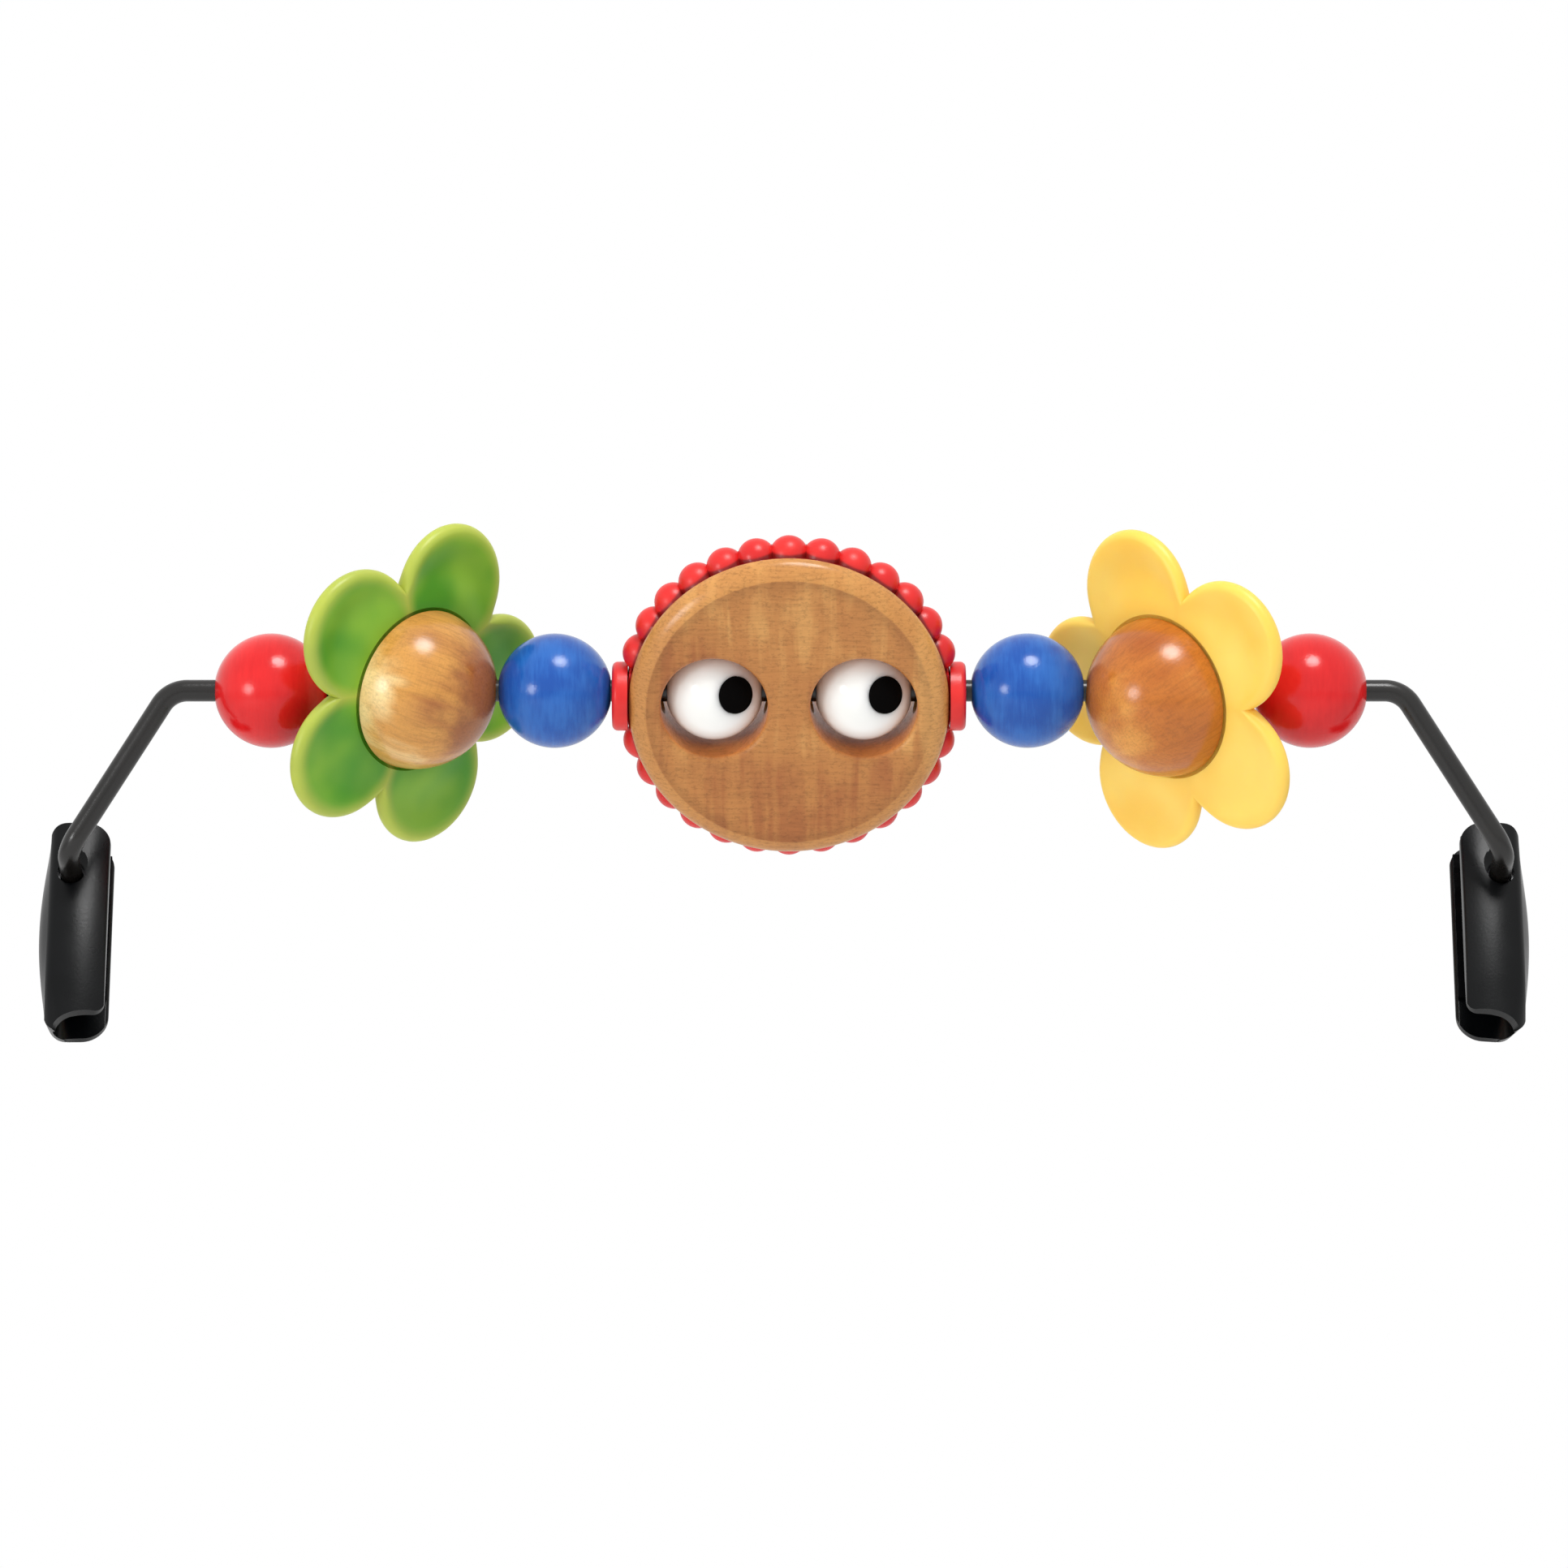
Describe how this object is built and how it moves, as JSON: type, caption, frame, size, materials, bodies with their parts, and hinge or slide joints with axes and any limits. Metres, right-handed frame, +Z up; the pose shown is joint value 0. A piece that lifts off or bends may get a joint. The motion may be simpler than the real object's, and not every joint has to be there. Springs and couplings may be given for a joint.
{
  "type": "bouncer toy bar",
  "caption": "Arched wire toy bar with painted wooden beads, petalled flowers and a round wooden face with rolling eyes, and a grip clip at each end for a bouncer's rails.",
  "frame": {"origin": "midpoint of the line between the two clips' rail channels, at the middle of each channel's length and depth", "axes": "+X along the bar, towards the yellow flower; -Y the way the face looks; +Z up"},
  "size_m": [0.4118, 0.0702, 0.1433],
  "materials": {
    "black_coated_steel": "satin black coating",
    "red_paint": "gloss paint on wood",
    "blue_paint": "gloss paint on wood",
    "green_plastic": "soft satin",
    "yellow_plastic": "soft satin",
    "red_rubber": "soft satin",
    "beech": "clear satin lacquer",
    "dark_beech": "stained, clear satin lacquer",
    "face_wood": "clear satin lacquer",
    "eye_white": "high gloss paint on wood",
    "pupil_black": "gloss",
    "clip_plastic": "satin",
    "pad_rubber": "matte",
    "spring_steel": "plain"
  },
  "bodies": {
    "bar": {"wire_bar": "black_coated_steel", "wire_retainer_left": "spring_steel", "wire_retainer_right": "spring_steel"},
    "red_bead_left": {"red_bead_left": "red_paint"},
    "green_flower": {"green_flower_ball": "beech", "green_petals": "green_plastic"},
    "blue_bead_left": {"blue_bead_left": "blue_paint"},
    "face": {"face_disc": "face_wood", "face_ring": "red_rubber"},
    "eye_left": {"eyeball_left": "eye_white", "pupil_left": "pupil_black"},
    "eye_right": {"eyeball_right": "eye_white", "pupil_right": "pupil_black"},
    "blue_bead_right": {"blue_bead_right": "blue_paint"},
    "yellow_flower": {"yellow_flower_ball": "dark_beech", "yellow_petals": "yellow_plastic"},
    "red_bead_right": {"red_bead_right": "red_paint"},
    "clip_left": {"clip_shell_left": "clip_plastic", "clip_front_pad_left": "pad_rubber", "clip_back_pad_left": "pad_rubber"},
    "clip_right": {"clip_shell_right": "clip_plastic", "clip_front_pad_right": "pad_rubber", "clip_back_pad_right": "pad_rubber"}
  },
  "joints": [
    {"name": "red_bead_left_spin", "type": "hinge", "parent": "bar", "child": "red_bead_left", "pos_m": [-0.1415, -0.01536, 0.0675], "axis": [1, 0, 0], "continuous": true},
    {"name": "green_flower_spin", "type": "hinge", "parent": "bar", "child": "green_flower", "pos_m": [-0.1019, -0.01536, 0.0675], "axis": [1, 0, 0], "continuous": true},
    {"name": "blue_bead_left_spin", "type": "hinge", "parent": "bar", "child": "blue_bead_left", "pos_m": [-0.0636, -0.01536, 0.0675], "axis": [1, 0, 0], "continuous": true},
    {"name": "face_spin", "type": "hinge", "parent": "bar", "child": "face", "pos_m": [0.0008, -0.01536, 0.0675], "axis": [1, 0, 0], "continuous": true},
    {"name": "eye_left_spin", "type": "hinge", "parent": "bar", "child": "eye_left", "pos_m": [-0.0197, -0.01536, 0.0675], "axis": [1, 0, 0], "continuous": true},
    {"name": "eye_right_spin", "type": "hinge", "parent": "bar", "child": "eye_right", "pos_m": [0.0213, -0.01536, 0.0675], "axis": [1, 0, 0], "continuous": true},
    {"name": "blue_bead_right_spin", "type": "hinge", "parent": "bar", "child": "blue_bead_right", "pos_m": [0.0664, -0.01536, 0.0675], "axis": [1, 0, 0], "continuous": true},
    {"name": "yellow_flower_spin", "type": "hinge", "parent": "bar", "child": "yellow_flower", "pos_m": [0.1047, -0.01536, 0.0675], "axis": [1, 0, 0], "continuous": true},
    {"name": "red_bead_right_spin", "type": "hinge", "parent": "bar", "child": "red_bead_right", "pos_m": [0.1441, -0.01536, 0.0675], "axis": [1, 0, 0], "continuous": true},
    {"name": "clip_left_swivel", "type": "hinge", "parent": "bar", "child": "clip_left", "pos_m": [-0.1976, -0.00422, 0.01792], "axis": [0, 0.891, -0.454], "range_deg": [-8, 8]},
    {"name": "clip_right_swivel", "type": "hinge", "parent": "bar", "child": "clip_right", "pos_m": [0.1976, -0.00422, 0.01792], "axis": [0, 0.891, -0.454], "range_deg": [-8, 8]}
  ]
}
